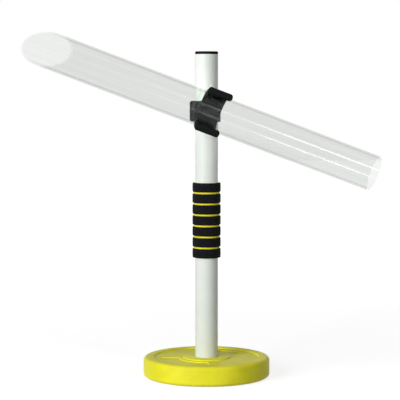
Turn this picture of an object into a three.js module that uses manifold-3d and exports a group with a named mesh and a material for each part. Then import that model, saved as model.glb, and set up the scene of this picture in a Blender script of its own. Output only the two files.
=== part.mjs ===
// A gravity ball server for table tennis practice: a clear ball tube in two snap clips back to back,
// on a pole with a foam grip that stands in a round weight plate.
// Millimetres, +Z up. The origin is the centre of the underside, on the pole's axis, and the tube
// lies in front of the pole (towards -Y) and slopes down towards +X.

import * as THREE from 'three';
import { mergeVertices } from 'three/addons/utils/BufferGeometryUtils.js';
import Module from 'manifold-3d';

// Gaps between pieces
const seatGap = 0.2;
const runningGap = 0.3;

// How far a cutting body runs past the faces that it cuts
const overrun = 3;

// How many flat sides stand for a circle, and how many steps for a rounded edge
const largeSides = 56;
const mediumSides = 36;
const smallSides = 16;
const hexSides = 6;
const edgeSteps = 3;
const bevelSteps = 1;
const staveSteps = 2;

// Weight plate: a moulded shell with a rim, a field inside the rim, a hub and two sunk pockets in the field
const plateRadius = 88.5;
const plateThickness = 27.8;
const plateEdgeRadius = 5;
const plateWall = 2.5;
const hubRadius = 33;
const fieldRadius = 72.7;
const fieldDepth = 1.8;
const stepRun = 0.9;
const boreChamfer = 0.8;
const pocketInnerRadius = 38.3;
const pocketOuterRadius = 64.4;
const pocketDepth = 1.6;
const longPocketFrom = 172;
const longPocketTo = 266;
const shortPocketFrom = 22;
const shortPocketTo = 64;
const fillerHoleRadius = 8;
const fillerHoleInset = 33.5;

// Anti-slip pad in a recess under the plate
const padRadius = 76;
const padThickness = 1.5;
const padProud = 0.8;

// Pole
const poleRadius = 16;
const poleWall = 1.4;
const overallHeight = 455.5;

// Cap in the top of the pole
const capHeadHeight = 3.6;
const capEdgeRadius = 1.4;
const capSpigotLength = 16;
const capWall = 1.6;
const capFinHeight = 1.2;
const capFinDepth = 0.8;

// Expanding foot in the bottom of the pole
const footFlangeRadius = 26;
const footFlangeThickness = 3.2;
const footSpigotLength = 34;
const footHeadRecessRadius = 10.5;
const footHeadRecessDepth = 8;
const footSlitWidth = 2.4;
const footSlitDepth = 15;
const coneHeight = 12;
const coneTopRadius = 10.6;
const coneBottomRadius = 7.4;
const boltRadius = 4;
const boltHeadRadius = 7.5;
const boltHeadHeight = 5.3;
const boltTail = 2;
const boltWasherRadius = 9.5;
const boltWasherThickness = 1.6;

// Foam grip: a sleeve with seven bands round it
const gripBottom = 168.4;
const gripLength = 104.9;
const gripSleeveRadius = 18.1;
const gripBandRadius = 19.8;
const gripBandCount = 7;
const gripGroove = 2.3;
const gripBandEdge = 2.2;
const gripSleeveEdge = 0.6;

// Clear ball tube, measured from the swivel along its own axis. It is one piece of plastic, given here as
// long staves side by side with fine seams between them, so that each is a plain bar beside an open bore.
const tubeRadius = 25;
const tubeWall = 2;
const tubeStaveCount = 12;
const tubeSeam = 0.3;
const tubeLowReach = 243;
const tubeHighReach = 239;
const scoopReach = 32.5;
const scoopUpturn = 13;
const tubeTilt = 20.7;
const swivelHeight = 372.5;

// Snap clips
const clipWall = 3.2;
const clipEdge = 0.7;
const bossRadius = 11;
const bossRise = 1.2;
const lipThickness = 3.6;
const lipStandOff = 1.5;
const lipCorner = 4.2;
const lipRootCorner = 2.2;
const tubeClipWidth = 31;
const tubeClipLipWidth = 35.5;
const tubeClipLipReach = 30.8;
const tubeClipMouth = 51;
const tubeClipLipSlope = 122;
const poleClipWidth = 29.2;
const poleClipLipReach = 21.7;
const poleClipMouth = 52;
const poleClipLipSlope = 60;

// Swivel screw, nut and washer between the two clips
const screwRadius = 2;
const screwHeadRadius = 3.9;
const screwHeadHeight = 2.2;
const screwHeadSunk = 0.3;
const nutRadius = 4.04;
const nutThickness = 2.2;
const nutPocketDepth = 2.9;
const screwTail = 0.2;
const swivelWasherRadius = 9;
const swivelWasherThickness = 0.8;

// Heights and radii that follow from the sizes above
const plateBottom = padProud;
const plateTop = plateBottom + plateThickness;
const fieldLevel = plateTop - fieldDepth;
const pocketLevel = fieldLevel - pocketDepth;
const padRecessLevel = padThickness + seatGap;
const footFlangeTop = padRecessLevel + footFlangeThickness;
const footFlangeSeat = footFlangeTop + seatGap;
const fillerHolePlace = plateRadius - fillerHoleInset;
const cavityInnerRadius = footFlangeRadius + seatGap + plateWall;
const cavityOuterRadius = plateRadius - plateWall;
const cavityBottom = padRecessLevel + plateWall;
const cavityTop = pocketLevel - plateWall;
const poleBottom = footFlangeTop + seatGap;
const poleTop = overallHeight - capHeadHeight - seatGap;
const poleBoreRadius = poleRadius - poleWall;
const spigotRadius = poleBoreRadius - seatGap;
const spigotTop = footFlangeTop + footSpigotLength;
const headRecessTop = padRecessLevel + footHeadRecessDepth;
const boltHeadTop = headRecessTop - seatGap - boltWasherThickness - seatGap;
const coneTop = spigotTop;
const coneBottom = coneTop - coneHeight;
const tubeClipBore = tubeRadius + runningGap;
const poleClipBore = poleRadius + runningGap;
const poleClipFace = poleClipBore + clipWall + bossRise;
const washerFrom = poleClipFace + seatGap;
const tubeClipFace = washerFrom + swivelWasherThickness + seatGap;
const tubeDistance = tubeClipFace + bossRise + clipWall + tubeClipBore;
const screwHeadTop = tubeDistance - tubeClipBore - screwHeadSunk;
const nutPocketEnd = poleClipBore + nutPocketDepth;
const nutFrom = nutPocketEnd - seatGap - nutThickness;

const axisZ = new THREE.Vector3(0, 0, 1);
const quarterTurn = Math.PI / 2;
const fullTurn = 2 * Math.PI;
const radians = THREE.MathUtils.degToRad;

const wasm = await Module();
wasm.setup();

// Turns a closed mesh into a solid that can be joined and cut
function toSolid(geometry) {
  const bare = geometry.clone();
  bare.deleteAttribute('normal');
  bare.deleteAttribute('uv');
  const merged = mergeVertices(bare);
  const corners = merged.index.array;
  const kept = [];
  for (let i = 0; i < corners.length; i += 3) {
    const [a, b, c] = corners.slice(i, i + 3);
    if (a !== b && b !== c && c !== a) {
      kept.push(a, b, c);
    }
  }
  const vertProperties = new Float32Array(merged.attributes.position.array);
  return new wasm.Manifold(new wasm.Mesh({ numProp: 3, vertProperties, triVerts: new Uint32Array(kept) }));
}

// Turns a solid back into a mesh's geometry
function toGeometry(solid) {
  const mesh = solid.getMesh();
  const geometry = new THREE.BufferGeometry();
  geometry.setAttribute('position', new THREE.BufferAttribute(new Float32Array(mesh.vertProperties), 3));
  geometry.setIndex(new THREE.BufferAttribute(new Uint32Array(mesh.triVerts), 1));
  geometry.computeVertexNormals();
  return geometry;
}

// A body turned about Z from [radius, height] points, given anticlockwise with the radius to the right
function turned(points, sides) {
  const profile = points.map(([radius, height]) => new THREE.Vector2(radius, height));
  return new THREE.LatheGeometry(profile, sides).rotateX(quarterTurn);
}

// A turned ring, whose outline closes on itself
function turnedRing(points, sides) {
  return turned([...points, points[0]], sides);
}

// Points of a rounded edge about a centre, from one angle to another in degrees
function arc(centreRadius, centreHeight, radius, from, to) {
  const points = [];
  for (let step = 0; step <= edgeSteps; step += 1) {
    const angle = radians(from + ((to - from) * step) / edgeSteps);
    points.push([centreRadius + radius * Math.cos(angle), centreHeight + radius * Math.sin(angle)]);
  }
  return points;
}

// A round bar about Z between two heights; two radii make a cone
function roundBar(bottomRadius, topRadius, bottom, top, sides) {
  const height = top - bottom;
  const bar = new THREE.CylinderGeometry(topRadius, bottomRadius, height, sides).rotateX(quarterTurn);
  return bar.translate(0, 0, bottom + height / 2);
}

// The sector of a flat ring, in degrees, between two heights
function ringSector(innerRadius, outerRadius, from, to, bottom, top, curveSegments) {
  const shape = new THREE.Shape();
  shape.absarc(0, 0, outerRadius, radians(from), radians(to), false);
  shape.absarc(0, 0, innerRadius, radians(to), radians(from), true);
  const settings = { depth: top - bottom, bevelEnabled: false, curveSegments };
  return new THREE.ExtrudeGeometry(shape, settings).translate(0, 0, bottom);
}

// A shape pushed out along Z about its middle plane, with its edges rounded inwards
function roundedPlate(shape, thickness, edge, curveSegments) {
  const depth = thickness - 2 * edge;
  const settings = {
    depth,
    bevelEnabled: true,
    bevelThickness: edge,
    bevelSize: edge,
    bevelOffset: -edge,
    bevelSegments: bevelSteps,
    curveSegments,
  };
  return new THREE.ExtrudeGeometry(shape, settings).translate(0, 0, -depth / 2);
}

// Materials

function yellowPlastic() {
  return new THREE.MeshStandardMaterial({ color: 0xe0dc2e, roughness: 0.62, metalness: 0 });
}

function blackPlastic() {
  return new THREE.MeshStandardMaterial({ color: 0x1a1b1d, roughness: 0.42, metalness: 0 });
}

function blackFoam() {
  return new THREE.MeshStandardMaterial({ color: 0x26262a, roughness: 0.95, metalness: 0 });
}

function yellowFoam() {
  return new THREE.MeshStandardMaterial({ color: 0xe6d820, roughness: 0.9, metalness: 0 });
}

function whitePaint() {
  return new THREE.MeshStandardMaterial({ color: 0xe4e6e0, roughness: 0.3, metalness: 0.1 });
}

function clearPlastic() {
  const look = { color: 0xeef0ee, roughness: 0.05, metalness: 0, transparent: true, opacity: 0.3 };
  return new THREE.MeshStandardMaterial(look);
}

function zincSteel() {
  return new THREE.MeshStandardMaterial({ color: 0xb9bcc0, roughness: 0.35, metalness: 1 });
}

function blackSteel() {
  return new THREE.MeshStandardMaterial({ color: 0x1c1d1f, roughness: 0.45, metalness: 1 });
}

function greyCement() {
  return new THREE.MeshStandardMaterial({ color: 0x8b8983, roughness: 1, metalness: 0 });
}

function darkRubber() {
  return new THREE.MeshStandardMaterial({ color: 0x2b2b2b, roughness: 1, metalness: 0 });
}

// A named mesh, from a geometry or from a solid
function piece(name, body, material) {
  const mesh = new THREE.Mesh(body.isBufferGeometry ? body : toGeometry(body), material);
  mesh.name = name;
  return mesh;
}

// Weight plate

function plateOutline() {
  const counterboreRadius = footFlangeRadius + seatGap;
  const recessRadius = padRadius + seatGap;
  const boreRadius = poleRadius + seatGap;
  const edgeCentre = plateRadius - plateEdgeRadius;
  return [
    [counterboreRadius, padRecessLevel],
    [recessRadius, padRecessLevel],
    [recessRadius, plateBottom],
    ...arc(edgeCentre, plateBottom + plateEdgeRadius, plateEdgeRadius, -90, 0),
    ...arc(edgeCentre, plateTop - plateEdgeRadius, plateEdgeRadius, 0, 90),
    [fieldRadius + stepRun, plateTop],
    [fieldRadius, fieldLevel],
    [hubRadius + stepRun, fieldLevel],
    [hubRadius, plateTop],
    [boreRadius + boreChamfer, plateTop],
    [boreRadius, plateTop - boreChamfer],
    [boreRadius, footFlangeSeat],
    [counterboreRadius, footFlangeSeat],
  ];
}

// The hollow of the shell, drawn in by a margin on every side
function cavityOutline(margin) {
  const outer = cavityOuterRadius - margin;
  const inner = cavityInnerRadius + margin;
  const bottom = cavityBottom + margin;
  const top = cavityTop - margin;
  return [
    [inner, bottom],
    [outer, bottom],
    [outer, top],
    [inner, top],
  ];
}

function plateShell() {
  let shell = toSolid(turnedRing(plateOutline(), largeSides));
  shell = shell.subtract(toSolid(turnedRing(cavityOutline(0), largeSides)));
  const pockets = [
    [longPocketFrom, longPocketTo],
    [shortPocketFrom, shortPocketTo],
  ];
  for (const [from, to] of pockets) {
    const top = fieldLevel + overrun;
    const pocket = ringSector(pocketInnerRadius, pocketOuterRadius, from, to, pocketLevel, top, smallSides);
    shell = shell.subtract(toSolid(pocket));
  }
  const hole = roundBar(
    fillerHoleRadius,
    fillerHoleRadius,
    padRecessLevel - overrun,
    cavityBottom + overrun,
    smallSides,
  );
  hole.translate(-fillerHolePlace, 0, 0);
  return piece('plate_shell', shell.subtract(toSolid(hole)), yellowPlastic());
}

function plateBallast() {
  return piece('plate_ballast', turnedRing(cavityOutline(seatGap), largeSides), greyCement());
}

function plateFillerPlug() {
  const radius = fillerHoleRadius - seatGap;
  const plug = roundBar(radius, radius, padRecessLevel, cavityBottom, smallSides);
  return piece('plate_filler_plug', plug.translate(-fillerHolePlace, 0, 0), yellowPlastic());
}

function platePad() {
  return piece('plate_pad', roundBar(padRadius, padRadius, 0, padThickness, largeSides), darkRubber());
}

// Pole, its cap and its expanding foot

function pole() {
  const outline = [
    [poleBoreRadius, poleBottom],
    [poleRadius, poleBottom],
    [poleRadius, poleTop],
    [poleBoreRadius, poleTop],
  ];
  return piece('pole', turnedRing(outline, mediumSides), whitePaint());
}

function poleCap() {
  const headBottom = poleTop + seatGap;
  const spigotBottom = headBottom - capSpigotLength;
  const finRoot = spigotRadius - capFinDepth;
  const boreRadius = finRoot - capWall;
  const finBottom = spigotBottom + capFinHeight;
  const secondFin = headBottom - capFinHeight;
  const profile = [
    [0, headBottom],
    [boreRadius, headBottom],
    [boreRadius, spigotBottom],
    [finRoot, spigotBottom],
    [spigotRadius, finBottom],
    [finRoot, finBottom + capFinHeight],
    [finRoot, secondFin - capFinHeight],
    [spigotRadius, secondFin],
    [spigotRadius, headBottom],
    [poleRadius, headBottom],
    ...arc(poleRadius - capEdgeRadius, overallHeight - capEdgeRadius, capEdgeRadius, 0, 90),
    [0, overallHeight],
  ];
  return piece('pole_cap', turned(profile, mediumSides), blackPlastic());
}

// The plug's bottom recess takes the bolt's head, and its top opens as a cone for the expander
function footPlug() {
  const holeRadius = boltRadius + runningGap;
  const seatBottomRadius = coneBottomRadius + runningGap;
  const seatTopRadius = coneTopRadius + runningGap;
  const outline = [
    [footHeadRecessRadius, padRecessLevel],
    [footFlangeRadius, padRecessLevel],
    [footFlangeRadius, footFlangeTop],
    [spigotRadius, footFlangeTop],
    [spigotRadius, spigotTop],
    [seatTopRadius, spigotTop],
    [seatBottomRadius, coneBottom],
    [holeRadius, coneBottom],
    [holeRadius, headRecessTop],
    [footHeadRecessRadius, headRecessTop],
  ];
  let plug = toSolid(turnedRing(outline, mediumSides));
  for (const turn of [0, quarterTurn]) {
    const slit = new THREE.BoxGeometry(2 * (spigotRadius + overrun), footSlitWidth, footSlitDepth + overrun);
    slit.translate(0, 0, spigotTop - (footSlitDepth - overrun) / 2);
    plug = plug.subtract(toSolid(slit.rotateZ(turn)));
  }
  return piece('foot_plug', plug, blackPlastic());
}

function footExpander() {
  const boreRadius = boltRadius + seatGap;
  const outline = [
    [boreRadius, coneBottom + seatGap],
    [coneBottomRadius, coneBottom + seatGap],
    [coneTopRadius, coneTop],
    [boreRadius, coneTop],
  ];
  return piece('foot_expander', turnedRing(outline, smallSides), zincSteel());
}

function footBolt() {
  const head = roundBar(boltHeadRadius, boltHeadRadius, boltHeadTop - boltHeadHeight, boltHeadTop, hexSides);
  const shankBottom = boltHeadTop - boltHeadHeight / 2;
  const shank = roundBar(boltRadius, boltRadius, shankBottom, coneTop + boltTail, smallSides);
  return piece('foot_bolt', toSolid(head).add(toSolid(shank)), zincSteel());
}

function footWasher() {
  const bottom = boltHeadTop + seatGap;
  const top = bottom + boltWasherThickness;
  const outline = [
    [boltRadius + seatGap, bottom],
    [boltWasherRadius, bottom],
    [boltWasherRadius, top],
    [boltRadius + seatGap, top],
  ];
  return piece('foot_washer', turnedRing(outline, smallSides), zincSteel());
}

// Foam grip

function gripSleeve() {
  const inner = poleRadius + seatGap;
  const top = gripBottom + gripLength;
  const shoulder = gripSleeveRadius - gripSleeveEdge;
  const outline = [
    [inner, gripBottom],
    [shoulder, gripBottom],
    [gripSleeveRadius, gripBottom + gripSleeveEdge],
    [gripSleeveRadius, top - gripSleeveEdge],
    [shoulder, top],
    [inner, top],
  ];
  return piece('grip_sleeve', turnedRing(outline, mediumSides), yellowFoam());
}

function gripBand(number) {
  const height = (gripLength - (gripBandCount - 1) * gripGroove) / gripBandCount;
  const bottom = gripBottom + (number - 1) * (height + gripGroove);
  const top = bottom + height;
  const inner = gripSleeveRadius + seatGap;
  const depth = gripBandRadius - inner;
  const edge = Math.min(gripBandEdge, depth);
  const outline = [
    [inner, bottom],
    ...arc(gripBandRadius - edge, bottom + edge, edge, -90, 0),
    ...arc(gripBandRadius - edge, top - edge, edge, 0, 90),
    [inner, top],
  ];
  return piece(`grip_band_${number}`, turnedRing(outline, mediumSides), blackFoam());
}

// Snap clips

// One out-turned lip of a clip, on the side that the sign names. A slope past 90 degrees leans it back
// over the arm, as the tube clip's hooked lips do.
function clipLip(clip, side) {
  const root = clip.bore + lipStandOff + lipThickness / 2;
  const start = new THREE.Vector3(root * Math.cos(clip.mouth), root * Math.sin(clip.mouth), 0);
  const along = new THREE.Vector3(Math.cos(clip.lipSlope), Math.sin(clip.lipSlope), 0);
  const reach = (clip.lipReach - lipThickness / 2 - start.y) / along.y;
  const length = reach + lipThickness;
  const centre = start.addScaledVector(along, reach / 2);
  centre.y *= side;
  along.y *= side;

  const half = clip.lipWidth / 2;
  const end = length / 2;
  const tip = Math.min(lipCorner, end);
  const foot = Math.min(lipRootCorner, end);
  const shape = new THREE.Shape();
  shape.absarc(half - tip, end - tip, tip, 0, quarterTurn, false);
  shape.absarc(tip - half, end - tip, tip, quarterTurn, 2 * quarterTurn, false);
  shape.absarc(foot - half, foot - end, foot, 2 * quarterTurn, 3 * quarterTurn, false);
  shape.absarc(half - foot, foot - end, foot, 3 * quarterTurn, fullTurn, false);
  const plate = roundedPlate(shape, lipThickness, lipThickness / 3, edgeSteps);
  const across = new THREE.Vector3().crossVectors(axisZ, along);
  const place = new THREE.Matrix4().makeBasis(axisZ, along, across).setPosition(centre);
  return toSolid(plate.applyMatrix4(place));
}

// A clip about the Z axis, with its mouth towards +X and its round boss towards -X
function snapClip(clip) {
  const outer = clip.bore + clipWall;
  const shape = new THREE.Shape();
  shape.absarc(0, 0, outer, clip.mouth, fullTurn - clip.mouth, false);
  shape.absarc(0, 0, clip.bore, fullTurn - clip.mouth, clip.mouth, true);
  let body = toSolid(roundedPlate(shape, clip.width, clipEdge, smallSides));

  const boss = roundBar(bossRadius, bossRadius, 0, outer + bossRise, mediumSides).rotateY(-quarterTurn);
  const core = clip.bore + clipWall / 2;
  const hollow = roundBar(core, core, -clip.width, clip.width, mediumSides);
  body = body.add(toSolid(boss).subtract(toSolid(hollow)));
  return body.add(clipLip(clip, 1)).add(clipLip(clip, -1));
}

// A bar about the swivel's line, between two distances from the pole's axis, towards -Y
function swivelBar(nearRadius, farRadius, near, far, sides) {
  return roundBar(nearRadius, farRadius, near, far, sides).rotateX(quarterTurn);
}

function poleClip() {
  const clip = {
    bore: poleClipBore,
    width: poleClipWidth,
    mouth: radians(poleClipMouth),
    lipWidth: poleClipWidth,
    lipReach: poleClipLipReach,
    lipSlope: radians(poleClipLipSlope),
  };
  const body = toSolid(toGeometry(snapClip(clip)).rotateZ(quarterTurn));
  const hole = screwRadius + seatGap;
  const shankHole = swivelBar(hole, hole, poleClipBore - overrun, poleClipFace + overrun, smallSides);
  const pocketRadius = nutRadius + seatGap;
  const nutPocket = swivelBar(pocketRadius, pocketRadius, poleClipBore - overrun, nutPocketEnd, hexSides);
  const cut = body.subtract(toSolid(shankHole)).subtract(toSolid(nutPocket));
  const mesh = piece('pole_clip', cut, blackPlastic());
  mesh.position.z = swivelHeight;
  return mesh;
}

function swivelNut() {
  const body = toSolid(swivelBar(nutRadius, nutRadius, nutFrom, nutFrom + nutThickness, hexSides));
  const bore = screwRadius + seatGap;
  const hole = swivelBar(bore, bore, nutFrom - overrun, nutFrom + nutThickness + overrun, smallSides);
  const mesh = piece('swivel_nut', body.subtract(toSolid(hole)), zincSteel());
  mesh.position.z = swivelHeight;
  return mesh;
}

function swivelScrew() {
  const headBottom = screwHeadTop - screwHeadHeight;
  const head = swivelBar(screwRadius, screwHeadRadius, headBottom, screwHeadTop, smallSides);
  const shankEnd = headBottom + screwHeadHeight / 2;
  const shank = swivelBar(screwRadius, screwRadius, nutFrom - screwTail, shankEnd, smallSides);
  const mesh = piece('swivel_screw', toSolid(head).add(toSolid(shank)), blackSteel());
  mesh.position.z = swivelHeight;
  return mesh;
}

function swivelWasher() {
  const outline = [
    [screwRadius + seatGap, washerFrom],
    [swivelWasherRadius, washerFrom],
    [swivelWasherRadius, washerFrom + swivelWasherThickness],
    [screwRadius + seatGap, washerFrom + swivelWasherThickness],
  ];
  const ring = turnedRing(outline, mediumSides).rotateX(quarterTurn);
  const mesh = piece('swivel_washer', ring, blackPlastic());
  mesh.position.z = swivelHeight;
  return mesh;
}

// The tube's clip and the tube are made level, about the X axis, with the front towards -Y

function tubeClip() {
  const clip = {
    bore: tubeClipBore,
    width: tubeClipWidth,
    mouth: radians(tubeClipMouth),
    lipWidth: tubeClipLipWidth,
    lipReach: tubeClipLipReach,
    lipSlope: radians(tubeClipLipSlope),
  };
  const level = toGeometry(snapClip(clip)).rotateY(quarterTurn).rotateX(-quarterTurn);
  const hole = screwRadius + seatGap;
  const headRadius = screwHeadRadius + runningGap;
  const shankHole = swivelBar(hole, hole, tubeClipFace - overrun, screwHeadTop + overrun, smallSides);
  const headBottom = screwHeadTop - screwHeadHeight;
  const sinkBottom = headBottom - runningGap;
  const sink = swivelBar(hole, headRadius, sinkBottom, screwHeadTop, smallSides);
  const sinkMouth = swivelBar(headRadius, headRadius, screwHeadTop, screwHeadTop + overrun, smallSides);
  let cut = toSolid(level);
  for (const cutter of [shankHole, sink, sinkMouth]) {
    cut = cut.subtract(toSolid(cutter.translate(0, tubeDistance, 0)));
  }
  return piece('tube_clip', cut, blackPlastic());
}

// The block that the slanting cut of the scoop takes off the tube's high end
function scoopBlock() {
  const slope = scoopReach / tubeRadius;
  const upturn = radians(scoopUpturn);
  const outwards = new THREE.Vector3(-1, -slope * Math.cos(upturn), slope * Math.sin(upturn)).normalize();
  const size = 4 * (scoopReach + tubeRadius);
  const block = new THREE.BoxGeometry(size, size, size).translate(0, 0, size / 2);
  block.applyQuaternion(new THREE.Quaternion().setFromUnitVectors(axisZ, outwards));
  return toSolid(block.translate(-tubeHighReach, 0, 0));
}

// One stave of the tube's wall, counted round from the one at the bottom that the balls roll on
function tubeStave(number) {
  const innerRadius = tubeRadius - tubeWall;
  const highEnd = -tubeHighReach - scoopReach - overrun;
  const turn = 360 / tubeStaveCount;
  const seam = THREE.MathUtils.radToDeg(tubeSeam / tubeRadius);
  const from = (number - 1.5) * turn + seam / 2;
  const to = (number - 0.5) * turn - seam / 2;
  const bar = ringSector(innerRadius, tubeRadius, from, to, highEnd, tubeLowReach, staveSteps);
  const stave = toSolid(bar.rotateY(quarterTurn)).subtract(scoopBlock());
  return piece(`ball_tube_${number}`, stave, clearPlastic());
}

function buildBase() {
  const base = new THREE.Group();
  base.add(plateShell(), plateBallast(), plateFillerPlug(), platePad());
  return base;
}

function buildPole() {
  const post = new THREE.Group();
  post.add(pole(), poleCap(), footPlug(), footExpander(), footBolt(), footWasher(), gripSleeve());
  for (let number = 1; number <= gripBandCount; number += 1) {
    post.add(gripBand(number));
  }
  return post;
}

function buildPoleClip() {
  const clip = new THREE.Group();
  clip.add(poleClip(), swivelNut(), swivelScrew(), swivelWasher());
  return clip;
}

function buildTube() {
  const tube = new THREE.Group();
  tube.add(tubeClip());
  for (let number = 1; number <= tubeStaveCount; number += 1) {
    tube.add(tubeStave(number));
  }
  tube.position.set(0, -tubeDistance, swivelHeight);
  tube.rotation.y = radians(tubeTilt);
  return tube;
}

const ballServer = new THREE.Group();
ballServer.add(buildBase(), buildPole(), buildPoleClip(), buildTube());

export default ballServer;
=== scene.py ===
# The looks of a gravity ball server: fine surfaces and materials over its solid parts.
# Metres, +Z up, in the frame of the solid model.

import math

import bmesh
import bpy
from mathutils import Matrix, Vector

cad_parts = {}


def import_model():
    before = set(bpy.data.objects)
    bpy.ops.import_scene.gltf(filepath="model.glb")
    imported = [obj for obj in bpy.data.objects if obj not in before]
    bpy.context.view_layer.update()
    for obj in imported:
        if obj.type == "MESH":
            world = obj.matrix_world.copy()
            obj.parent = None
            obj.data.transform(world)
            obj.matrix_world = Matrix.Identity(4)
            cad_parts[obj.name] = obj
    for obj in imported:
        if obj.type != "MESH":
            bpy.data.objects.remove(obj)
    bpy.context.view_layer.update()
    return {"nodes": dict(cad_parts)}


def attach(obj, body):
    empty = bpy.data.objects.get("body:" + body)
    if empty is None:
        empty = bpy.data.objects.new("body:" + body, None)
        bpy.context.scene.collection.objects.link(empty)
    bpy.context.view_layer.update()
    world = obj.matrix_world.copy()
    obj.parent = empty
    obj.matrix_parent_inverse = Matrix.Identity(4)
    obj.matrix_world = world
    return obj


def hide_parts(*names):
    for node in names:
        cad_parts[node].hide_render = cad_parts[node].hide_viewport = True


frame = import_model()
nodes = frame["nodes"]

MM = 0.001
FULL_TURN = 2 * math.pi
QUARTER_TURN = math.pi / 2

# Sizes in millimetres, as in the solid model
SEAT_GAP = 0.2
RUNNING_GAP = 0.3
PLATE_RADIUS = 88.5
PLATE_BOTTOM = 0.8
PLATE_TOP = 28.6
PLATE_EDGE = 5.0
PLATE_WALL = 2.5
FIELD_RADIUS = 72.7
FIELD_LEVEL = 26.8
HUB_RADIUS = 33.0
STEP_RUN = 0.9
POCKET_INNER = 38.3
POCKET_OUTER = 64.4
POCKET_DEPTH = 1.6
POCKETS = ((172.0, 266.0), (22.0, 64.0))
PAD_RADIUS = 76.0
PAD_RECESS = 1.7
FLANGE_RADIUS = 26.0
FLANGE_TOP = 4.9
FILLER_RADIUS = 8.0
FILLER_PLACE = 55.0
POLE_RADIUS = 16.0
POLE_WALL = 1.4
POLE_BOTTOM = 5.1
POLE_TOP = 451.7
OVERALL_HEIGHT = 455.5
CAP_EDGE = 1.4
CAP_SPIGOT = 16.0
CAP_WALL = 1.6
CAP_FIN = 1.2
CAP_FIN_DEPTH = 0.8
GRIP_BOTTOM = 168.4
GRIP_LENGTH = 104.9
SLEEVE_RADIUS = 18.1
BAND_RADIUS = 19.8
BAND_COUNT = 7
GROOVE = 2.3
SWIVEL_HEIGHT = 372.5
TUBE_DISTANCE = 51.6
TUBE_TILT = 20.7
TUBE_RADIUS = 25.0
TUBE_WALL = 2.0
TUBE_LOW_REACH = 243.0
TUBE_HIGH_REACH = 239.0
SCOOP_REACH = 32.5
SCOOP_UPTURN = 13.0
CLIP_WALL = 3.2
CLIP_EDGE = 0.9
THROAT = 1.8
THROAT_TURN = 7.0
LIP_WALL = 2.6
TIP_ROUND = 1.25
LIP_CORNER = 4.2
BOSS_RADIUS = 11.0
BOSS_RISE = 1.2
SCREW_RADIUS = 2.0
SCREW_HEAD = 3.9
SCREW_HEAD_HEIGHT = 2.2
SCREW_SUNK = 0.3
NUT_RADIUS = 4.04
NUT_POCKET = 2.9

# Widths and opening of each clip, with the width, reach and slope of its lips
POLE_CLIP = dict(width=29.2, mouth=52.0, lip_width=29.2, lip_reach=21.7, lip_slope=60.0)
TUBE_CLIP = dict(width=31.0, mouth=51.0, lip_width=35.0, lip_reach=30.8, lip_slope=122.0)

# How finely the surfaces are divided, and the angle in degrees from which an edge is sharp
FINE_SIDES = 192
PLATE_SIDES = 540
FILLER_SIDES = 64
CUTTER_SIDES = 48
NUT_SIDES = 6
ROUND_STEPS = 8
ARC_STEPS = 40
LIP_STEPS = 18
CORNER_STEPS = 4
SMALL_EDGE_STEPS = 4
SHARP_FROM = 35.0

# Light around the object, where 1 is white, and the metres over which the floor's glow rises
WORLD_FILL = 0.12
BACKGROUND = 1.0
FLOOR_COLOUR = 0.5
FLOOR_GLOW = (0.78, 1.0)
FLOOR_GLOW_REACH = (0.3, 1.8)
WHITE = (1.0, 1.0, 1.0, 1.0)


# Shapes

def smooth(mesh):
    """Shades a mesh smooth except at its sharp edges."""
    mesh.shade_smooth()
    mesh.set_sharp_from_angle(angle=math.radians(SHARP_FROM))


def link(name, verts, faces):
    """A mesh object from points in millimetres."""
    mesh = bpy.data.meshes.new(name)
    mesh.from_pydata([tuple(c * MM for c in v) for v in verts], [], faces)
    mesh.validate()
    mesh.update()
    smooth(mesh)
    obj = bpy.data.objects.new(name, mesh)
    bpy.context.scene.collection.objects.link(obj)
    return obj


def arc(centre_r, centre_z, radius, start, end, steps=ROUND_STEPS):
    """Points of a rounded edge in a turned outline."""
    points = []
    for i in range(steps + 1):
        angle = math.radians(start + (end - start) * i / steps)
        points.append((centre_r + radius * math.cos(angle), centre_z + radius * math.sin(angle)))
    return points


def ring(name, outline, sides=FINE_SIDES, shift=None):
    """A turned ring, whose outline runs anticlockwise with the radius to the right.

    The shift, where there is one, says how far each point moves outwards and up.
    """
    verts = []
    for j in range(sides):
        angle = FULL_TURN * j / sides
        for r, z in outline:
            dr, dz = shift(r, z, angle) if shift else (0.0, 0.0)
            verts.append(((r + dr) * math.cos(angle), (r + dr) * math.sin(angle), z + dz))
    count = len(outline)
    faces = []
    for j in range(sides):
        k = (j + 1) % sides
        for i in range(count):
            n = (i + 1) % count
            faces.append((j * count + i, k * count + i, k * count + n, j * count + n))
    return link(name, verts, faces)


def turned(name, outline, sides=FINE_SIDES):
    """A turned body whose outline starts and ends on the axis."""
    inner = outline[1:-1]
    verts = [(0.0, 0.0, outline[0][1]), (0.0, 0.0, outline[-1][1])]
    for j in range(sides):
        angle = FULL_TURN * j / sides
        verts += [(r * math.cos(angle), r * math.sin(angle), z) for r, z in inner]
    count = len(inner)
    faces = []
    for j in range(sides):
        k = (j + 1) % sides
        a, b = 2 + j * count, 2 + k * count
        faces.append((0, b, a))
        for i in range(count - 1):
            faces.append((a + i, b + i, b + i + 1, a + i + 1))
        faces.append((a + count - 1, b + count - 1, 1))
    return link(name, verts, faces)


def smooth_step(value, low, high):
    """0 up to the low value, 1 from the high one on, and a smooth rise between them."""
    share = min(max((value - low) / (high - low), 0.0), 1.0)
    return share * share * (3 - 2 * share)


def cut(obj, cutter, operation="DIFFERENCE"):
    """Takes one closed mesh out of another, or joins it on, and removes the second."""
    change = obj.modifiers.new("cut", "BOOLEAN")
    change.operation = operation
    change.solver = "EXACT"
    change.object = cutter
    bpy.context.view_layer.update()
    seen = obj.evaluated_get(bpy.context.evaluated_depsgraph_get())
    mesh = bpy.data.meshes.new_from_object(seen)
    obj.modifiers.clear()
    obj.data = mesh
    bpy.data.objects.remove(cutter)
    smooth(mesh)
    return obj


# Materials

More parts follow.
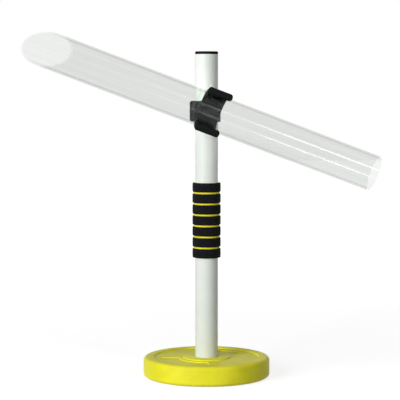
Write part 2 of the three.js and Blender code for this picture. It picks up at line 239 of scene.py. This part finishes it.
def material(name, colour, roughness, metallic=0.0, specular=0.5):
    """A new material, with its node tree and its shader."""
    made = bpy.data.materials.new(name)
    made.use_nodes = True
    shader = made.node_tree.nodes["Principled BSDF"]
    shader.inputs["Base Color"].default_value = (*colour, 1.0)
    shader.inputs["Roughness"].default_value = roughness
    shader.inputs["Metallic"].default_value = metallic
    shader.inputs["Specular IOR Level"].default_value = specular
    return made, made.node_tree, shader


def object_noise(tree, scale, detail=3.0, stretch=(1.0, 1.0, 1.0), tilt=0.0):
    """Noise in the object's own coordinates, turned about Y and then drawn out along its axes."""
    place = tree.nodes.new("ShaderNodeTexCoord")
    mapping = tree.nodes.new("ShaderNodeMapping")
    mapping.vector_type = "TEXTURE"
    mapping.inputs["Rotation"].default_value = (0.0, tilt, 0.0)
    mapping.inputs["Scale"].default_value = stretch
    noise = tree.nodes.new("ShaderNodeTexNoise")
    noise.inputs["Scale"].default_value = scale
    noise.inputs["Detail"].default_value = detail
    tree.links.new(place.outputs["Object"], mapping.inputs["Vector"])
    tree.links.new(mapping.outputs["Vector"], noise.inputs["Vector"])
    return noise.outputs["Fac"]


def colour_ramp(tree, value, *stops):
    """The colour between two stops, each a position and a colour."""
    ramp = tree.nodes.new("ShaderNodeValToRGB")
    for i, (position, colour) in enumerate(stops):
        ramp.color_ramp.elements[i].position = position
        ramp.color_ramp.elements[i].color = (*colour, 1.0)
    tree.links.new(value, ramp.inputs["Fac"])
    return ramp.outputs["Color"]


def map_range(tree, value, to, start=(0.0, 1.0)):
    """A value carried from the starting range to another."""
    spread = tree.nodes.new("ShaderNodeMapRange")
    for name, level in zip(("From Min", "From Max", "To Min", "To Max"), (*start, *to)):
        spread.inputs[name].default_value = level
    tree.links.new(value, spread.inputs["Value"])
    return spread.outputs["Result"]


def noise_colour(tree, noise, dark, light):
    """A colour that noise varies between a dark and a light one."""
    return colour_ramp(tree, noise, (0.35, dark), (0.65, light))


def vary_colour(tree, shader, noise, dark, light):
    tree.links.new(noise_colour(tree, noise, dark, light), shader.inputs["Base Color"])


def vary_roughness(tree, shader, noise, low, high):
    tree.links.new(map_range(tree, noise, (low, high)), shader.inputs["Roughness"])


def bump(tree, shader, noise, strength, height):
    """Grain in the shading, with its height in metres."""
    made = tree.nodes.new("ShaderNodeBump")
    made.inputs["Strength"].default_value = strength
    made.inputs["Distance"].default_value = height
    tree.links.new(noise, made.inputs["Height"])
    tree.links.new(made.outputs["Normal"], shader.inputs["Normal"])


def yellow_plastic():
    made, tree, shader = material("yellow_plastic", (0.76, 0.72, 0.02), 0.5, 0.0, 0.2)
    vary_colour(tree, shader, object_noise(tree, 40.0), (0.72, 0.68, 0.016), (0.80, 0.76, 0.026))
    vary_roughness(tree, shader, object_noise(tree, 120.0), 0.42, 0.56)
    bump(tree, shader, object_noise(tree, 1800.0, 2.0), 0.12, 0.0001)
    return made


def black_plastic():
    made, tree, shader = material("black_plastic", (0.004, 0.0045, 0.005), 0.5, 0.0, 0.08)
    dark, light = (0.003, 0.0034, 0.0038), (0.005, 0.0055, 0.006)
    vary_colour(tree, shader, object_noise(tree, 90.0), dark, light)
    vary_roughness(tree, shader, object_noise(tree, 220.0), 0.44, 0.58)
    bump(tree, shader, object_noise(tree, 1500.0, 2.0), 0.08, 0.0001)
    return made


def matte_black():
    """The cap's plastic, which shows no gloss in the photo."""
    made, tree, shader = material("matte_black", (0.010, 0.010, 0.010), 0.8, 0.0, 0.0)
    dark, light = (0.008, 0.008, 0.008), (0.013, 0.013, 0.013)
    vary_colour(tree, shader, object_noise(tree, 200.0), dark, light)
    bump(tree, shader, object_noise(tree, 1500.0, 2.0), 0.2, 0.0001)
    return made


def pole_paint():
    made, tree, shader = material("pole_paint", (0.68, 0.72, 0.675), 0.16, 0.0, 0.12)
    vary_colour(tree, shader, object_noise(tree, 30.0), (0.665, 0.705, 0.66), (0.695, 0.735, 0.69))
    vary_roughness(tree, shader, object_noise(tree, 90.0), 0.12, 0.2)
    bump(tree, shader, object_noise(tree, 500.0, 2.0, (1.0, 1.0, 3.0)), 0.03, 0.0001)
    return made


def foam(name, dark, light):
    """Foam with fine open pores."""
    made, tree, shader = material(name, light, 0.92, 0.0, 0.08)
    vary_colour(tree, shader, object_noise(tree, 600.0), dark, light)
    shader.inputs["Sheen Weight"].default_value = 0.02
    cells = tree.nodes.new("ShaderNodeTexVoronoi")
    cells.inputs["Scale"].default_value = 1400.0
    place = tree.nodes.new("ShaderNodeTexCoord")
    tree.links.new(place.outputs["Object"], cells.inputs["Vector"])
    bump(tree, shader, cells.outputs["Distance"], 0.35, 0.0003)
    return made


def zinc_steel():
    made, tree, shader = material("zinc_steel", (0.55, 0.56, 0.58), 0.34, 1.0)
    vary_colour(tree, shader, object_noise(tree, 300.0), (0.50, 0.51, 0.53), (0.60, 0.61, 0.63))
    vary_roughness(tree, shader, object_noise(tree, 500.0), 0.26, 0.42)
    return made


def black_steel():
    made, tree, shader = material("black_steel", (0.02, 0.021, 0.022), 0.4, 1.0)
    dark, light = (0.016, 0.017, 0.018), (0.026, 0.027, 0.028)
    vary_colour(tree, shader, object_noise(tree, 300.0), dark, light)
    vary_roughness(tree, shader, object_noise(tree, 500.0), 0.34, 0.46)
    return made


def cement():
    made, tree, shader = material("cement", (0.30, 0.29, 0.27), 0.95)
    dark, light = (0.24, 0.23, 0.21), (0.36, 0.35, 0.32)
    vary_colour(tree, shader, object_noise(tree, 160.0, 6.0), dark, light)
    bump(tree, shader, object_noise(tree, 900.0, 4.0), 0.5, 0.0004)
    return made


def pad_rubber():
    made, tree, shader = material("pad_rubber", (0.02, 0.02, 0.02), 0.85)
    dark, light = (0.016, 0.016, 0.016), (0.026, 0.026, 0.026)
    vary_colour(tree, shader, object_noise(tree, 200.0), dark, light)
    bump(tree, shader, object_noise(tree, 1200.0, 3.0), 0.4, 0.0003)
    return made


def clear_plastic():
    """Clear extruded plastic with faint lines along it, darker and less glossy seen edge on."""
    made, tree, shader = material("clear_plastic", (0.85, 0.865, 0.855), 0.0)
    shader.inputs["Transmission Weight"].default_value = 1.0
    shader.inputs["IOR"].default_value = 1.0
    shader.inputs["Coat Roughness"].default_value = 0.14
    shader.inputs["Coat IOR"].default_value = 1.49
    streaks = object_noise(tree, 260.0, 2.0, (60.0, 1.0, 1.0), math.radians(TUBE_TILT))
    colour = noise_colour(tree, streaks, (0.825, 0.84, 0.828), (0.87, 0.88, 0.868))
    weight = tree.nodes.new("ShaderNodeLayerWeight")
    weight.inputs["Blend"].default_value = 0.5
    facing = weight.outputs["Facing"]
    # Painted shade: this ramp darkens the colour seen edge on, partly for the longer way through
    # the wall and partly for the darker surroundings that the tube's edges show.
    edge = colour_ramp(tree, facing, (0.5, (1.0, 1.0, 1.0)), (0.72, (0.83, 0.83, 0.82)))
    gloss = map_range(tree, facing, (0.25, 0.0), (0.45, 0.75))
    tree.links.new(gloss, shader.inputs["Coat Weight"])
    both = tree.nodes.new("ShaderNodeMix")
    both.data_type = "RGBA"
    both.blend_type = "MULTIPLY"
    both.inputs["Factor"].default_value = 1.0
    tree.links.new(colour, both.inputs["A"])
    tree.links.new(edge, both.inputs["B"])
    tree.links.new(both.outputs["Result"], shader.inputs["Base Color"])
    let_lamps_through(tree, shader)
    return made


def let_lamps_through(tree, shader):
    """Lets light from the lamps pass a clear wall, so that it lights what is behind it."""
    rays = tree.nodes.new("ShaderNodeLightPath")
    clear = tree.nodes.new("ShaderNodeBsdfTransparent")
    clear.inputs["Color"].default_value = (0.92, 0.93, 0.92, 1.0)
    mixed = tree.nodes.new("ShaderNodeMixShader")
    tree.links.new(rays.outputs["Is Shadow Ray"], mixed.inputs["Fac"])
    tree.links.new(shader.outputs["BSDF"], mixed.inputs[1])
    tree.links.new(clear.outputs["BSDF"], mixed.inputs[2])
    tree.links.new(mixed.outputs["Shader"], tree.nodes["Material Output"].inputs["Surface"])


def cut_edge():
    """The sawn ends of the clear tube, slightly frosted."""
    made, tree, shader = material("cut_edge", (0.90, 0.91, 0.90), 0.3)
    shader.inputs["Transmission Weight"].default_value = 0.9
    shader.inputs["IOR"].default_value = 1.0
    vary_colour(tree, shader, object_noise(tree, 700.0), (0.87, 0.88, 0.87), (0.93, 0.94, 0.93))
    return made


def dress(obj, made, body, slot, *replaced):
    """Gives a piece its material and the body it rides on, and hides the nodes it stands for; the
    slot is not used.
    """
    obj.data.materials.clear()
    obj.data.materials.append(made)
    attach(obj, body)
    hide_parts(*replaced)


def dress_node(name, made):
    """Gives a node that keeps its own mesh its material."""
    held = nodes[name].data.materials
    if held:
        held[0] = made
    else:
        held.append(made)


# Plate

def plate_shift(r, z, angle):
    """Sinks the field's pockets, and leaves every other face where it is."""
    if z < PLATE_TOP - PLATE_EDGE or r < HUB_RADIUS or r > FIELD_RADIUS:
        return 0.0, 0.0
    side = STEP_RUN / 2
    radial = smooth_step(r, POCKET_INNER, POCKET_INNER + side)
    radial *= 1.0 - smooth_step(r, POCKET_OUTER - side, POCKET_OUTER)
    sunk = 0.0
    for start, end in POCKETS:
        middle, half = math.radians((start + end) / 2), math.radians((end - start) / 2)
        away = abs((angle - middle + math.pi) % FULL_TURN - math.pi)
        inside = (half - away) * r
        sunk = max(sunk, radial * smooth_step(inside, 0.0, side * 2))
    return 0.0, -POCKET_DEPTH * sunk


def plate():
    """The hollow weight plate, with its filling hole, its recess for the pad and its bore."""
    recess = PAD_RADIUS + SEAT_GAP
    bore = POLE_RADIUS + SEAT_GAP
    counterbore = FLANGE_RADIUS + SEAT_GAP
    seat = FLANGE_TOP + SEAT_GAP
    edge = PLATE_RADIUS - PLATE_EDGE
    soft = 0.35
    chamfer = 0.8
    near, far = STEP_RUN * 0.15, STEP_RUN * 0.85
    # Circles of the field, close together where the pockets' sides are
    side_steps = (0.1, -0.1, -0.25, -0.4, -0.6)
    field = [FIELD_RADIUS - soft - i for i in range(8)]
    field += [POCKET_OUTER + step for step in side_steps]
    field += [POCKET_OUTER - 3.0 - 3.0 * i for i in range(8)]
    field += [POCKET_INNER - step for step in reversed(side_steps)]
    field += [POCKET_INNER - 2.0, HUB_RADIUS + STEP_RUN + soft]
    outline = [
        (counterbore, PAD_RECESS),
        (recess, PAD_RECESS),
        (recess, PLATE_BOTTOM),
        *arc(edge, PLATE_BOTTOM + PLATE_EDGE, PLATE_EDGE, -90, 0),
        *arc(edge, PLATE_TOP - PLATE_EDGE, PLATE_EDGE, 0, 90),
        (FIELD_RADIUS + STEP_RUN + soft, PLATE_TOP),
        (FIELD_RADIUS + far, PLATE_TOP - soft * 0.5),
        (FIELD_RADIUS + near, FIELD_LEVEL + soft * 0.5),
        *[(r, FIELD_LEVEL) for r in field],
        (HUB_RADIUS + far, FIELD_LEVEL + soft * 0.5),
        (HUB_RADIUS + near, PLATE_TOP - soft * 0.5),
        (HUB_RADIUS - soft, PLATE_TOP),
        (bore + chamfer, PLATE_TOP),
        (bore, PLATE_TOP - chamfer),
        (bore, seat),
        (counterbore, seat),
    ]
    made = ring("weight_plate", outline, PLATE_SIDES, plate_shift)
    bpy.ops.mesh.primitive_cylinder_add(
        vertices=FILLER_SIDES,
        radius=FILLER_RADIUS * MM,
        depth=8 * MM,
        location=(-FILLER_PLACE * MM, 0, PAD_RECESS * MM),
    )
    hole = bpy.context.object
    inner, outer = counterbore + PLATE_WALL, PLATE_RADIUS - PLATE_WALL
    bottom, top = PAD_RECESS + PLATE_WALL, FIELD_LEVEL - POCKET_DEPTH - PLATE_WALL
    corners = [(inner, bottom), (outer, bottom), (outer, top), (inner, top)]
    cut(made, ring("cavity", corners))
    cut(made, hole)
    dress(made, yellow_plastic(), "base", "plate_plastic", "plate_shell")


# Pole and cap

def pole_tube():
    bore = POLE_RADIUS - POLE_WALL
    lip = 0.3
    outline = [
        (bore, POLE_BOTTOM),
        (POLE_RADIUS, POLE_BOTTOM),
        (POLE_RADIUS, POLE_TOP - 2 * lip),
        *arc(POLE_RADIUS - lip, POLE_TOP - lip, lip, 0, 90, SMALL_EDGE_STEPS),
        (bore, POLE_TOP),
    ]
    dress(ring("pole_tube", outline), pole_paint(), "post", "pole_paint", "pole")


def cap():
    """The pole's cap, a low head over a hollow spigot with two fins."""
    head = POLE_TOP + SEAT_GAP
    spigot = POLE_RADIUS - POLE_WALL - SEAT_GAP
    root = spigot - CAP_FIN_DEPTH
    low = head - CAP_SPIGOT
    outline = [
        (0.0, head),
        (root - CAP_WALL, head),
        (root - CAP_WALL, low),
        (root, low),
        (spigot, low + CAP_FIN),
        (root, low + 2 * CAP_FIN),
        (root, head - 2 * CAP_FIN),
        (spigot, head - CAP_FIN),
        (spigot, head),
        (POLE_RADIUS, head),
        *arc(POLE_RADIUS - CAP_EDGE, OVERALL_HEIGHT - CAP_EDGE, CAP_EDGE, 0, 90),
        (0.0, OVERALL_HEIGHT),
    ]
    dress(turned("cap", outline), matte_black(), "post", "black_plastic", "pole_cap")


# Foam grip

def sleeve_surface():
    """The sleeve that shows between the bands."""
    inner = POLE_RADIUS + SEAT_GAP
    edge = 0.6
    top = GRIP_BOTTOM + GRIP_LENGTH
    outline = [(inner, GRIP_BOTTOM)]
    outline += arc(SLEEVE_RADIUS - edge, GRIP_BOTTOM + edge, edge, -90, 0)
    outline += arc(SLEEVE_RADIUS - edge, top - edge, edge, 0, 90)
    outline += [(inner, top)]
    made = foam("yellow_foam", (0.66, 0.58, 0.02), (0.80, 0.72, 0.03))
    piece = ring("foam_sleeve", outline)
    dress(piece, made, "post", "yellow_foam", "grip_sleeve")


def band_surface(number, made):
    """One band, slightly crowned, with soft edges and the small unevenness of cut foam."""
    height = (GRIP_LENGTH - (BAND_COUNT - 1) * GROOVE) / BAND_COUNT
    bottom = GRIP_BOTTOM + (number - 1) * (height + GROOVE)
    top = bottom + height
    inner = SLEEVE_RADIUS + SEAT_GAP
    edge = BAND_RADIUS - inner
    crown = 0.12
    dent = 0.02
    side = BAND_RADIUS - crown - edge * 0.9
    face = []
    for i in range(1, ROUND_STEPS):
        share = i / ROUND_STEPS
        z = bottom + edge + (height - 2 * edge) * share
        face.append((BAND_RADIUS - crown + crown * math.sin(math.pi * share), z))
    outline = [(inner, bottom)]
    outline += arc(side, bottom + edge * 0.9, edge * 0.9, -90, 0)
    outline += face
    outline += arc(side, top - edge * 0.9, edge * 0.9, 0, 90)
    outline += [(inner, top)]

    def uneven(r, z, angle):
        if r < inner + 0.5:
            return 0.0, 0.0
        wave = math.sin(5 * angle + number) + math.sin(11 * angle + 2 * number)
        return -2 * dent + dent * wave, 0.0

    piece = ring(f"foam_band_{number}", outline, FINE_SIDES, uneven)
    dress(piece, made, "post", "black_foam", f"grip_band_{number}")


# Ball tube

def tube_place():
    """The matrix that takes the level tube to its place."""
    turn = Matrix.Rotation(math.radians(TUBE_TILT), 4, "Y")
    place = Vector((0, -TUBE_DISTANCE * MM, SWIVEL_HEIGHT * MM))
    return Matrix.Translation(place) @ turn


def tube_surface():
    """The tube, turned about its own axis, cut off at the scoop's slope and put in its place."""
    bore = TUBE_RADIUS - TUBE_WALL
    to_spare = 3.0
    high = -TUBE_HIGH_REACH - SCOOP_REACH - to_spare
    lip, lip_steps = 0.25, 3
    straight = TUBE_LOW_REACH - 2 * lip
    outline = [
        (bore, high),
        (TUBE_RADIUS, high),
        (TUBE_RADIUS, straight),
        *arc(TUBE_RADIUS - lip, TUBE_LOW_REACH - lip, lip, 0, 90, lip_steps),
        *arc(bore + lip, TUBE_LOW_REACH - lip, lip, 90, 180, lip_steps),
        (bore, straight),
    ]
    made = ring("clear_tube", outline)
    made.data.transform(Matrix.Rotation(QUARTER_TURN, 4, "Y"))
    slope = SCOOP_REACH / TUBE_RADIUS
    upturn = math.radians(SCOOP_UPTURN)
    out = Vector((-1, -slope * math.cos(upturn), slope * math.sin(upturn))).normalized()
    side = 4 * (SCOOP_REACH + TUBE_RADIUS) * MM
    bpy.ops.mesh.primitive_cube_add(size=side)
    block = bpy.context.object
    turn = Vector((0, 0, 1)).rotation_difference(out).to_matrix().to_4x4()
    up = Matrix.Translation((0, 0, side / 2))
    block.data.transform(Matrix.Translation((-TUBE_HIGH_REACH * MM, 0, 0)) @ turn @ up)
    cut(made, block)
    staves = [name for name in nodes if name.startswith("ball_tube_")]
    dress(made, clear_plastic(), "tube", "clear_plastic", *staves)
    made.data.materials.append(cut_edge())
    for face in made.data.polygons:
        low_end = face.normal.x > 0.5 and face.center.x > straight * MM
        if low_end or face.normal.dot(out) > 0.99:
            face.material_index = 1
    made.data.transform(tube_place())


# Snap clips

def strip_path(bore, width, mouth, lip_width, lip_reach, lip_slope):
    """Half of a clip's middle line, from its back to a lip's tip, with widths and thicknesses."""
    thinnest = 0.3
    middle = bore + CLIP_WALL / 2
    end, slope = math.radians(mouth + THROAT_TURN), math.radians(lip_slope)
    path = []
    for i in range(ARC_STEPS + 1):
        angle = math.pi + (end - math.pi) * i / ARC_STEPS
        path.append((middle * math.cos(angle), middle * math.sin(angle), width, CLIP_WALL))
    centre = ((middle + THROAT) * math.cos(end), (middle + THROAT) * math.sin(end))
    start = end - QUARTER_TURN
    for i in range(1, ROUND_STEPS + 1):
        share = i / ROUND_STEPS
        heading = start + (slope - start) * share
        wide = width + (lip_width - width) * smooth_step(share, 0.3, 0.8)
        u = centre[0] + THROAT * math.sin(heading)
        v = centre[1] - THROAT * math.cos(heading)
        path.append((u, v, wide, CLIP_WALL))
    u0, v0 = path[-1][0], path[-1][1]
    length = (lip_reach - v0) / math.sin(slope)
    for i in range(1, LIP_STEPS + 1):
        along = length * math.sin(QUARTER_TURN * i / LIP_STEPS)
        tip = max(along - (length - TIP_ROUND), 0.0)
        shrink = TIP_ROUND - math.sqrt(max(TIP_ROUND**2 - tip**2, 0.0))
        wall = CLIP_WALL + (LIP_WALL - CLIP_WALL) * smooth_step(along / length, 0.0, 0.6)
        corner = max(along - (length - LIP_CORNER), 0.0)
        narrow = LIP_CORNER - math.sqrt(max(LIP_CORNER**2 - corner**2, 0.0))
        u, v = u0 + along * math.cos(slope), v0 + along * math.sin(slope)
        path.append((u, v, lip_width - 2 * narrow, max(wall - 2 * shrink, thinnest)))
    return path


def section(width, thickness):
    """The rounded outline of a strip's section, in millimetres across and through the strip."""
    round_off = min(CLIP_EDGE, thickness / 2 - 0.01)
    points = []
    for turn, (sx, sy) in enumerate(((1, 1), (-1, 1), (-1, -1), (1, -1))):
        x, y = sx * (width / 2 - round_off), sy * (thickness / 2 - round_off)
        for i in range(CORNER_STEPS + 1):
            angle = QUARTER_TURN * (turn + i / CORNER_STEPS)
            points.append((x + round_off * math.cos(angle), y + round_off * math.sin(angle)))
    return points


def clip_shape(name, bore, width, mouth, lip_width, lip_reach, lip_slope):
    """A clip about the X axis with its mouth towards -Y: a sprung strip with a boss on its back."""
    half = strip_path(bore, width, mouth, lip_width, lip_reach, lip_slope)
    path = [(u, -v, w, t) for u, v, w, t in reversed(half[1:])] + half
    verts, faces = [], []
    last = len(path) - 1
    for i, (u, v, wide, thick) in enumerate(path):
        before, after = path[max(i - 1, 0)], path[min(i + 1, last)]
        run = Vector((after[0] - before[0], after[1] - before[1])).normalized()
        for x, y in section(wide, thick):
            verts.append((x, -(u - run.y * y), v + run.x * y))
    count = len(verts) // len(path)
    for i in range(last):
        for j in range(count):
            k = (j + 1) % count
            a, b = i * count, (i + 1) * count
            faces.append((a + j, a + k, b + k, b + j))
    faces.append(tuple(reversed(range(count))))
    faces.append(tuple(range(last * count, (last + 1) * count)))
    made = link(name, verts, faces)
    outward(made)

    face = bore + CLIP_WALL + BOSS_RISE
    edge = 0.5
    disc = turned(
        "boss",
        [
            (0.0, bore + CLIP_WALL / 2),
            (BOSS_RADIUS, bore + CLIP_WALL / 2),
            *arc(BOSS_RADIUS - edge, face - edge, edge, 0, 90, SMALL_EDGE_STEPS),
            (0.0, face),
        ],
    )
    disc.data.transform(Matrix.Rotation(-QUARTER_TURN, 4, "X"))
    return cut(made, disc, "UNION")


def outward(obj):
    """Points every face of a closed mesh outwards."""
    held = bmesh.new()
    held.from_mesh(obj.data)
    bmesh.ops.recalc_face_normals(held, faces=held.faces)
    held.to_mesh(obj.data)
    held.free()


def swivel_cutter(outline, sides=CUTTER_SIDES, turn=0.0):
    """A body about the swivel's line, with heights measured from the pole's axis towards -Y."""
    made = turned("cutter", outline, sides)
    made.data.transform(Matrix.Rotation(QUARTER_TURN, 4, "X") @ Matrix.Rotation(turn, 4, "Z"))
    return made


def pole_clip(made_of):
    """The clip on the pole, with the screw's hole and the nut's pocket."""
    inside, outside = 12, 24
    made = clip_shape("pole_snap_clip", POLE_RADIUS + RUNNING_GAP, **POLE_CLIP)
    made.data.transform(Matrix.Rotation(math.pi, 4, "Z") @ Matrix.Rotation(QUARTER_TURN, 4, "Y"))
    hole = SCREW_RADIUS + SEAT_GAP
    pocket = NUT_RADIUS + SEAT_GAP
    end = POLE_RADIUS + RUNNING_GAP + NUT_POCKET
    cut(made, swivel_cutter([(0, inside), (hole, inside), (hole, outside), (0, outside)]))
    hexagon = [(0, inside), (pocket, inside), (pocket, end), (0, end)]
    cut(made, swivel_cutter(hexagon, NUT_SIDES, math.radians(30)))
    made.data.transform(Matrix.Translation((0, 0, SWIVEL_HEIGHT * MM)))
    dress(made, made_of, "clip", "black_plastic", "pole_clip")


def tube_clip(made_of):
    """The clip that holds the tube, with the hole and the sink for the screw."""
    inside, outside = 18, 30
    made = clip_shape("tube_snap_clip", TUBE_RADIUS + RUNNING_GAP, **TUBE_CLIP)
    hole = SCREW_RADIUS + SEAT_GAP
    head = SCREW_HEAD + RUNNING_GAP
    top = TUBE_DISTANCE - TUBE_RADIUS - RUNNING_GAP - SCREW_SUNK
    sink = top - SCREW_HEAD_HEIGHT - RUNNING_GAP
    outline = [(0, inside), (hole, inside), (hole, sink)]
    outline += [(head, top), (head, outside), (0, outside)]
    cutter = swivel_cutter(outline)
    cutter.data.transform(Matrix.Translation((0, TUBE_DISTANCE * MM, 0)))
    cut(made, cutter)
    made.data.transform(tube_place())
    dress(made, made_of, "cradle", "black_plastic", "tube_clip")


# Camera, lights and background

def calculate(tree, operation, first, second):
    """The outcome of a math node on two values."""
    made = tree.nodes.new("ShaderNodeMath")
    made.operation = operation
    tree.links.new(first, made.inputs[0])
    tree.links.new(second, made.inputs[1])
    return made.outputs[0]


def background_share(tree):
    """1 for the rays that show the background, and 0 for those that light the object."""
    rays = tree.nodes.new("ShaderNodeLightPath").outputs
    seen = calculate(tree, "MAXIMUM", rays["Is Camera Ray"], rays["Is Glossy Ray"])
    return calculate(tree, "MAXIMUM", seen, rays["Is Transmission Ray"])


def background(tree, strength):
    made = tree.nodes.new("ShaderNodeBackground")
    made.inputs["Color"].default_value = WHITE
    made.inputs["Strength"].default_value = strength
    return made.outputs[0]


def world():
    """A white world that lights the object only faintly."""
    made = bpy.data.worlds.new("studio")
    bpy.context.scene.world = made
    made.use_nodes = True
    tree = made.node_tree
    tree.nodes.clear()
    output = tree.nodes.new("ShaderNodeOutputWorld")
    mix = tree.nodes.new("ShaderNodeMixShader")
    tree.links.new(background_share(tree), mix.inputs["Fac"])
    tree.links.new(background(tree, WORLD_FILL), mix.inputs[1])
    tree.links.new(background(tree, BACKGROUND), mix.inputs[2])
    tree.links.new(mix.outputs[0], output.inputs["Surface"])


def floor():
    """A pale floor that shows whiter with distance, until it meets the world's white."""
    bpy.ops.mesh.primitive_plane_add(size=12.0, location=(0, 0, 0))
    ground = bpy.context.object
    ground.name = "floor"
    made = bpy.data.materials.new("floor")
    made.use_nodes = True
    tree = made.node_tree
    tree.nodes.clear()
    output = tree.nodes.new("ShaderNodeOutputMaterial")
    diffuse = tree.nodes.new("ShaderNodeBsdfDiffuse")
    diffuse.inputs["Color"].default_value = (FLOOR_COLOUR, FLOOR_COLOUR, FLOOR_COLOUR, 1.0)
    glow = tree.nodes.new("ShaderNodeEmission")
    glow.inputs["Color"].default_value = WHITE
    place = tree.nodes.new("ShaderNodeTexCoord")
    away = tree.nodes.new("ShaderNodeVectorMath")
    away.operation = "LENGTH"
    tree.links.new(place.outputs["Object"], away.inputs[0])
    whiter = map_range(tree, away.outputs["Value"], FLOOR_GLOW, FLOOR_GLOW_REACH)
    level = calculate(tree, "MULTIPLY", background_share(tree), whiter)
    tree.links.new(level, glow.inputs["Strength"])
    both = tree.nodes.new("ShaderNodeAddShader")
    tree.links.new(diffuse.outputs[0], both.inputs[0])
    tree.links.new(glow.outputs[0], both.inputs[1])
    tree.links.new(both.outputs[0], output.inputs["Surface"])
    ground.data.materials.append(made)


def lamp(name, place, target, size, power, along=(1, 0, 0)):
    """A flat lamp whose first side runs along the given direction."""
    data = bpy.data.lights.new(name, "AREA")
    data.shape = "RECTANGLE"
    data.size, data.size_y = size
    data.energy = power
    made = bpy.data.objects.new(name, data)
    made.location = place
    back = (Vector(place) - Vector(target)).normalized()
    side = Vector(along)
    side = (side - back * side.dot(back)).normalized()
    made.rotation_mode = "QUATERNION"
    made.rotation_quaternion = Matrix((side, back.cross(side), back)).transposed().to_quaternion()
    bpy.context.scene.collection.objects.link(made)


def camera():
    """The photo's camera, as fitted to the photo."""
    azimuth, pitch = math.radians(-8.05), math.radians(4.26)
    distance, aside, height = 2.199, -0.00918, 0.4125
    back = Vector((math.sin(azimuth), -math.cos(azimuth), 0.0))
    right = Vector((math.cos(azimuth), math.sin(azimuth), 0.0))
    data = bpy.data.cameras.new("camera")
    data.sensor_width = 36.0
    data.lens = 142.02
    made = bpy.data.objects.new("camera", data)
    made.location = back * distance + right * aside + Vector((0, 0, height))
    look = -back * math.cos(pitch) - Vector((0, 0, math.sin(pitch)))
    made.rotation_mode = "QUATERNION"
    made.rotation_quaternion = look.to_track_quat("-Z", "Y")
    bpy.context.scene.collection.objects.link(made)
    bpy.context.scene.camera = made


bpy.context.scene.view_settings.view_transform = "Standard"
camera()
world()
floor()
tilt = math.radians(TUBE_TILT)
tube_line = (math.cos(tilt), 0, -math.sin(tilt))
lamp("key", (-1.93, -1.62, 0.78), (0, 0, 0.2), (1.8, 1.8), 74)
lamp("strip", (0.935, -1.9, 1.04), (0.17, -0.05, 0.31), (0.29, 0.06), 6.2, tube_line)
lamp("strip_faint", (0.62, -1.9, 1.16), (0.08, -0.05, 0.34), (0.45, 0.06), 1.9, tube_line)

black = black_plastic()
zinc = zinc_steel()
plate()
pole_tube()
cap()
sleeve_surface()
band_material = foam("black_foam", (0.004, 0.004, 0.006), (0.009, 0.009, 0.012))
for band in range(1, BAND_COUNT + 1):
    band_surface(band, band_material)
tube_surface()
pole_clip(black)
tube_clip(black)
for black_node in ("swivel_washer", "foot_plug"):
    dress_node(black_node, black)
for steel_node in ("swivel_nut", "foot_expander", "foot_bolt", "foot_washer"):
    dress_node(steel_node, zinc)
dress_node("swivel_screw", black_steel())
dress_node("plate_ballast", cement())
dress_node("plate_filler_plug", yellow_plastic())
dress_node("plate_pad", pad_rubber())
